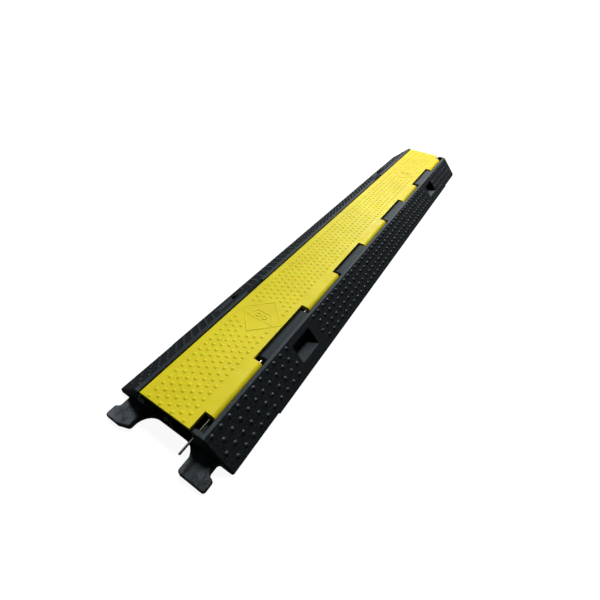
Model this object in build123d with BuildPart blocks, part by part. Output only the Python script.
from build123d import *
import os

# Two-channel cable protector ramp, in millimetres.
# X runs across the ramp (+X is the hinge side), Y along the cables and Z up.
# The origin is the centre of the base's underside.

os.makedirs("parts", exist_ok=True)

# Base moulding
base_length = 1004.0
base_width = 200.0
height = 45.0
crest_left_x = -54.0  # tops of the two slopes
crest_right_x = 59.5
toe_height = 3.0  # upright edge at the foot of each slope
crest_round = 1.5
end_round = 1.5
narrow_start = 411.0  # beyond this the outer edges step in
narrow_step = 2.0
foot_round = 3.0  # outermost corners, seen from above

# Cable channels
floor_thickness = 4.0
left_wall_x = -48.0  # upright face beside the lid's free edge
ledge_x = -36.0
divider_left_x = -1.0
divider_right_x = 5.0
divider_round = 2.0
nose_reach = 3.5  # bevelled noses on the near ends of the ledge and the divider
notch_clearance = 0.5  # round the next ramp's noses at the far end

# Hinge line
axis_x = 46.0
axis_z = 38.0
knuckle_radius = height - axis_z
groove_radius = 8.6
rod_radius = 1.5
bore_radius = 1.55
blind_wall = 3.0  # left uncut at the far end of the base's bore
knuckle_right_x = 56.0  # buried in the crest
knuckle_round = 3.0
knuckle_end_round = 1.5
knuckle_spans = [(58.0, 160.0), (272.0, 377.0), (495.0, 502.0)]

# Lid
lid_length = 1000.0
lid_thickness = 5.5
lid_clearance = 0.3
lid_left_x = -45.8
lid_right_x = 37.5
lid_corner_round = 0.5
middle_tab_half = 54.0
tab_spans = [(164.0, 263.0), (385.0, 475.0)]

# Hinge rod, drawn out of the near end as far as it goes
rod_length = 1000.0
rod_near_y = -525.0
rod_tip_chamfer = 0.4

# Hooked lugs at the near end and the sockets that take them at the far end
lug_height = 10.0
lug_inner_x = 44.0
lug_neck_x = 76.0
lug_head_x = 84.0
lug_reach = 32.5
lug_head_length = 16.5
lug_corner_round = 4.0
lug_top_round = 2.0
web_radius = 22.0
flare_radius = 4.0
flare_height = 8.0
lug_facet_x = 73.0  # outwards from here the top of a lug slopes down
lug_facet_drop = 4.5  # over the whole of the facet
left_lug_cut_x = 16.0  # slanting cut across the left lug's inner front corner
left_lug_cut_y = 5.0
socket_clearance = 0.8

# Pockets in both slopes
pocket_inner_x = 67.0
pocket_floor_z = 15.0
pocket_length = 44.0
pocket_round = 2.0
pocket_y = 313.0

# Finger scoops along the left crest
scoop_x = -53.0
scoop_low_z = 38.5
scoop_length = 40.0
scoop_middles = (-270.0, 245.0)

# Modelling allowances
overlap = 1.0  # how far shapes that are joined or cut run into each other
tiny = 0.01  # tolerance when edges and corners are picked by place

base_end = base_length / 2
ledge_z = height - lid_thickness - lid_clearance
groove_right_x = axis_x + groove_radius
groove_bottom_z = axis_z - groove_radius
hinge_wall_x = axis_x - knuckle_radius
lug_tip_y = -base_end - lug_reach


def mirrored(spans):
    """The same spans along Y at both ends."""
    return spans + [(-stop, -start) for start, stop in spans]


def across(start):
    """The plane across the ramp at Y = start; extruding by a negative amount goes towards +Y."""
    return Plane.XZ.offset(-start)


def hook_outline(side, root_y, clearance):
    """The plan of a lug or socket, reaching from root_y towards -Y. Its head hooks outwards."""
    tip_y = root_y - lug_reach - clearance
    shoulder_y = tip_y + lug_head_length + 2 * clearance
    inner = lug_inner_x - clearance
    neck = lug_neck_x + clearance
    head = lug_head_x + clearance
    buried_y = root_y + end_round + overlap
    points = [
        (inner, buried_y),
        (inner, tip_y),
        (head, tip_y),
        (head, shoulder_y),
        (neck, shoulder_y),
        (neck, buried_y),
    ]
    return [(side * x, y) for x, y in points]


def root_outline(side, edge_x, root_y, reach):
    """Straight edges behind the curve that widens a lug's root, outwards for a positive reach."""
    buried_x = edge_x - overlap if reach > 0 else edge_x + overlap
    buried_y = root_y + overlap
    curve_end_y = root_y - abs(reach)
    points = [
        (edge_x, curve_end_y),
        (buried_x, curve_end_y),
        (buried_x, buried_y),
        (edge_x + reach, buried_y),
        (edge_x + reach, root_y),
    ]
    return [(side * x, y) for x, y in points]


def is_outer(point):
    """Whether a point of an end face's outline lies on the crest or on either slope."""
    on_crest = point.Z > height - tiny
    beside_crest = not crest_left_x <= point.X <= crest_right_x
    on_slope = beside_crest and abs(point.X) < base_width / 2 - tiny and point.Z > tiny
    return on_crest or on_slope


def nose_outline(end_y, clearance):
    """Side view of a nose, as points along Y and Z. It points towards -Y from the end at end_y."""
    reach = nose_reach + clearance
    return [
        (end_y + overlap, ledge_z + clearance),
        (end_y, ledge_z + clearance),
        (end_y - reach, ledge_z + clearance - reach),
        (end_y - reach, ledge_z - 2 * nose_reach - clearance),
        (end_y + overlap, ledge_z - 2 * nose_reach - clearance),
    ]


# The base's share of the hinge knuckles, with their upright corners rounded
with BuildPart() as knuckles:
    for start, stop in mirrored(knuckle_spans):
        with BuildSketch(across(start)):
            with BuildLine():
                Polyline(
                    (axis_x, height),
                    (knuckle_right_x, height),
                    (knuckle_right_x, groove_bottom_z - overlap),
                    (hinge_wall_x, groove_bottom_z - overlap),
                    (hinge_wall_x, axis_z),
                )
                CenterArc((axis_x, axis_z), knuckle_radius, 90, 90)
            make_face()
        extrude(amount=start - stop)
    knuckle_end_edges = [
        edge
        for edge in knuckles.edges()
        if edge.bounding_box().size.Y < tiny
        and edge.bounding_box().min.Z > axis_z - tiny
        and edge.center().X < knuckle_right_x - tiny
    ]
    chamfer(knuckle_end_edges, knuckle_end_round)
    plan_right_x = knuckle_right_x + knuckle_round
    with BuildSketch(Plane.XY):
        for start, stop in mirrored(knuckle_spans):
            with Locations(((hinge_wall_x + plan_right_x) / 2, (start + stop) / 2)):
                RectangleRounded(plan_right_x - hinge_wall_x, stop - start, knuckle_round)
    extrude(amount=height, mode=Mode.INTERSECT)

# Base: one moulding with both ramps, the channels, the divider and its share of the hinge knuckles
with BuildPart() as base:
    with BuildSketch(across(-base_end)) as section:
        with BuildLine():
            Polyline(
                (axis_x, groove_bottom_z),
                (hinge_wall_x, groove_bottom_z),
                (hinge_wall_x, floor_thickness),
                (divider_right_x, floor_thickness),
                (divider_right_x, ledge_z),
                (divider_left_x, ledge_z),
                (divider_left_x, floor_thickness),
                (ledge_x, floor_thickness),
                (ledge_x, ledge_z),
                (left_wall_x, ledge_z),
                (left_wall_x, height),
                (crest_left_x, height),
                (-base_width / 2, toe_height),
                (-base_width / 2, 0),
                (base_width / 2, 0),
                (base_width / 2, toe_height),
                (crest_right_x, height),
                (groove_right_x, height),
                (groove_right_x, axis_z),
            )
            CenterArc((axis_x, axis_z), groove_radius, 270, 90)
        make_face()
        crest_corners = [
            corner
            for corner in section.vertices()
            if min(abs(corner.X - crest_left_x), abs(corner.X - crest_right_x)) < tiny
        ]
        fillet(crest_corners, crest_round)
        divider_corners = [
            corner
            for corner in section.vertices().filter_by_position(Axis.Z, ledge_z, ledge_z)
            if divider_left_x - tiny < corner.X < divider_right_x + tiny
        ]
        fillet(divider_corners, divider_round)
    extrude(amount=-base_length)

    # Bevel the sloping and top edges of both end faces
    end_edges = [
        edge
        for end in (-base_end, base_end)
        for edge in base.edges().filter_by_position(Axis.Y, end - tiny, end + tiny)
        if edge.bounding_box().size.Y < tiny and is_outer(edge.center())
    ]
    chamfer(end_edges, end_round)

    # Knuckles stand in the hinge groove
    add(knuckles.part)

    # In plan the outer edges are a little narrower towards both ends, and the last corners are rounded
    with BuildSketch(Plane.XY) as base_plan:
        Rectangle(base_width - 2 * narrow_step, base_length)
        fillet(base_plan.vertices(), foot_round)
        Rectangle(base_width, 2 * narrow_start)
    extrude(amount=height, mode=Mode.INTERSECT)

    # Hooked lugs at the near end
    for side in (-1, 1):
        with BuildSketch(Plane.XY) as lug_plan:
            with BuildLine():
                Polyline(hook_outline(side, -base_end, 0.0), close=True)
            make_face()
            if side < 0:
                with BuildLine():
                    Polyline(
                        (-lug_inner_x, lug_tip_y),
                        (-lug_inner_x - left_lug_cut_x, lug_tip_y),
                        (-lug_inner_x, lug_tip_y + left_lug_cut_y),
                        close=True,
                    )
                make_face(mode=Mode.SUBTRACT)
            head_corners = [corner for corner in lug_plan.vertices() if corner.Y < -base_end]
            fillet(head_corners, lug_corner_round)
        extrude(amount=lug_height)

    # The outer strip of each lug's top slopes down
    facet_end_x = lug_head_x + overlap
    facet_slope = lug_facet_drop / (lug_head_x - lug_facet_x)
    facet_end_z = lug_height - facet_slope * (facet_end_x - lug_facet_x)
    with BuildSketch(across(lug_tip_y - overlap)):
        for side in (-1, 1):
            with BuildLine():
                Polyline(
                    (side * lug_facet_x, lug_height),
                    (side * facet_end_x, facet_end_z),
                    (side * facet_end_x, lug_height + overlap),
                    (side * lug_facet_x, lug_height + overlap),
                    close=True,
                )
            make_face()
    extrude(amount=-lug_reach - overlap, mode=Mode.SUBTRACT)
    lug_top_edges = [
        edge
        for edge in base.edges()
        if edge.center().Y < -base_end - tiny
        and edge.bounding_box().min.Z > lug_height - lug_facet_drop - overlap
        and not (edge.geom_type == GeomType.LINE and abs(abs(edge.center().X) - lug_facet_x) < tiny)
    ]
    fillet(lug_top_edges, lug_top_round)

    # Curves widen both roots of each lug, the inner one as a thin web
    root_curves = [
        (lug_inner_x, -web_radius, floor_thickness),
        (lug_neck_x, flare_radius, flare_height),
    ]
    for side in (-1, 1):
        for edge_x, reach, thickness in root_curves:
            with BuildSketch(Plane.XY):
                with BuildLine():
                    outline = Polyline(root_outline(side, edge_x, -base_end, reach))
                    RadiusArc(outline @ 1, outline @ 0, -side * reach)
                make_face()
            extrude(amount=thickness)

    # Sockets for the next ramp's lugs, with room for their webs and flares, open below and at the far end
    socket_curves = [
        (lug_inner_x - socket_clearance, socket_clearance - web_radius, floor_thickness + socket_clearance),
        (lug_neck_x + socket_clearance, flare_radius - socket_clearance, flare_height + socket_clearance),
    ]
    for side in (-1, 1):
        with BuildSketch(Plane.XY):
            with BuildLine():
                Polyline(hook_outline(side, base_end, socket_clearance), close=True)
            make_face()
        extrude(amount=lug_height + socket_clearance, mode=Mode.SUBTRACT)
        for edge_x, reach, thickness in socket_curves:
            with BuildSketch(Plane.XY):
                with BuildLine():
                    outline = Polyline(root_outline(side, edge_x, base_end - socket_clearance, reach))
                    RadiusArc(outline @ 1, outline @ 0, -side * reach)
                make_face()
            extrude(amount=thickness, mode=Mode.SUBTRACT)

    # Bevelled noses on the near ends of the ledge and the divider, and notches for the next ramp's
    for start, stop in ((left_wall_x, ledge_x), (divider_left_x, divider_right_x)):
        with BuildSketch(Plane.YZ.offset(start)):
            with BuildLine():
                Polyline(nose_outline(-base_end, 0.0), close=True)
            make_face()
        extrude(amount=stop - start)
        with BuildSketch(Plane.YZ.offset(start)):
            with BuildLine():
                Polyline(nose_outline(base_end, notch_clearance), close=True)
            make_face()
        extrude(amount=stop - start, mode=Mode.SUBTRACT)

    # Pockets with level floors in both slopes
    pocket_depth = base_width / 2 - pocket_inner_x
    with BuildSketch(Plane.XY.offset(pocket_floor_z)):
        for side in (-1, 1):
            with Locations(
                (side * (pocket_inner_x + pocket_depth), -pocket_y),
                (side * (pocket_inner_x + pocket_depth), pocket_y),
            ):
                RectangleRounded(2 * pocket_depth, pocket_length, pocket_round)
    extrude(amount=height - pocket_floor_z, mode=Mode.SUBTRACT)

    # Finger scoops slope down to the lid's free edge
    for middle in scoop_middles:
        with BuildSketch(across(middle - scoop_length / 2)):
            with BuildLine():
                Polyline(
                    (scoop_x, height),
                    (left_wall_x + overlap, scoop_low_z),
                    (left_wall_x + overlap, height + overlap),
                    (scoop_x, height + overlap),
                    close=True,
                )
            make_face()
        extrude(amount=-scoop_length, mode=Mode.SUBTRACT)

    # Bore for the hinge rod, blind at the far end
    with BuildSketch(across(-base_end)):
        with Locations((axis_x, axis_z)):
            Circle(bore_radius)
    extrude(amount=blind_wall - base_length, mode=Mode.SUBTRACT)
base.part.label = "base"
export_step(base.part, "parts/base.step")

# Lid: a flat plate whose tabs curl round the hinge rod between the knuckles
with BuildPart() as lid:
    lid_bottom_z = height - lid_thickness
    lid_end = lid_length / 2
    with BuildSketch(across(-lid_end)):
        with BuildLine():
            Polyline(
                (lid_left_x, lid_bottom_z),
                (lid_left_x, height),
                (lid_right_x, height),
                (lid_right_x, lid_bottom_z),
                close=True,
            )
        make_face()
    extrude(amount=-lid_length)
    plate_top_edges = lid.faces().sort_by(Axis.Z)[-1].edges()
    chamfer(plate_top_edges.filter_by(Axis.Y).sort_by(Axis.X)[0], lid_corner_round)
    for start, stop in mirrored(tab_spans) + [(-middle_tab_half, middle_tab_half)]:
        with BuildSketch(across(start)):
            with BuildLine():
                Polyline(
                    (axis_x, height),
                    (lid_right_x - overlap, height),
                    (lid_right_x - overlap, lid_bottom_z),
                    (hinge_wall_x, lid_bottom_z),
                    (hinge_wall_x, axis_z),
                )
                CenterArc((axis_x, axis_z), knuckle_radius, 180, 270)
            make_face()
        extrude(amount=start - stop)
    with BuildSketch(across(-lid_end)):
        with Locations((axis_x, axis_z)):
            Circle(bore_radius)
    extrude(amount=-lid_length, mode=Mode.SUBTRACT)
lid.part.label = "lid"
export_step(lid.part, "parts/lid.step")

# Hinge rod: one long steel pin through every knuckle and tab
with BuildPart() as hinge_rod:
    with BuildSketch(across(rod_near_y)):
        with Locations((axis_x, axis_z)):
            Circle(rod_radius)
    extrude(amount=-rod_length)
    chamfer(hinge_rod.edges().filter_by(GeomType.CIRCLE), rod_tip_chamfer)
hinge_rod.part.label = "hinge_rod"
export_step(hinge_rod.part, "parts/hinge_rod.step")
